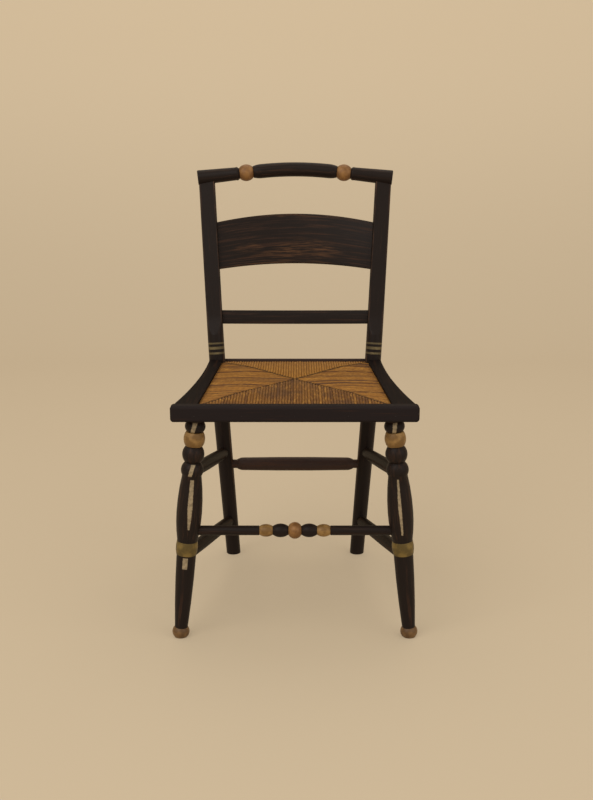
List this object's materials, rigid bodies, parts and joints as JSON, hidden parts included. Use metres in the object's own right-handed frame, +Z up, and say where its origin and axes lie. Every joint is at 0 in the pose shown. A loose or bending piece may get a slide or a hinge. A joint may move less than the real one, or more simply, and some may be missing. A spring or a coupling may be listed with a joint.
{
  "type": "stenciled painted side chair",
  "caption": "Painted side chair with a turned, bent crest, an arched slat, a woven rush seat in strips, turned splayed front legs, and stretchers on all sides.",
  "frame": {"origin": "the centre of the plan's bounding box, on the floor", "axes": "+X to the right as the chair is seen from the front, -Y is the front, +Z up; left and right in the node names are as seen from the front"},
  "size_m": [0.4652, 0.5159, 0.8649],
  "materials": {
    "black_paint": "black-brown paint worn to brown, with gold painted balls, rings and bands",
    "strip_paint": "black-brown paint worn to brown",
    "bare_wood": "bare, hidden by the rush",
    "rush": "twisted rush, golden brown, dry and slightly shiny",
    "iron": "iron brads, painted over"
  },
  "bodies": {
    "root": {"left_rear_post": "black_paint", "right_rear_post": "black_paint", "crest_rail": "black_paint", "back_slat": "black_paint", "lower_back_rail": "black_paint", "back_pegs": "black_paint", "left_front_leg": "black_paint", "right_front_leg": "black_paint", "front_stretcher": "black_paint", "rear_stretcher": "black_paint", "upper_left_side_stretcher": "black_paint", "upper_right_side_stretcher": "black_paint", "lower_left_side_stretcher": "black_paint", "lower_right_side_stretcher": "black_paint", "left_side_strip": "strip_paint", "right_side_strip": "strip_paint", "front_facing_strip": "strip_paint", "rear_seat_strip": "strip_paint", "front_seat_rail": "bare_wood", "rear_seat_rail": "bare_wood", "left_seat_rail": "bare_wood", "right_seat_rail": "bare_wood", "rush_seat": "rush", "strip_brads": "iron"}
  },
  "joints": []
}
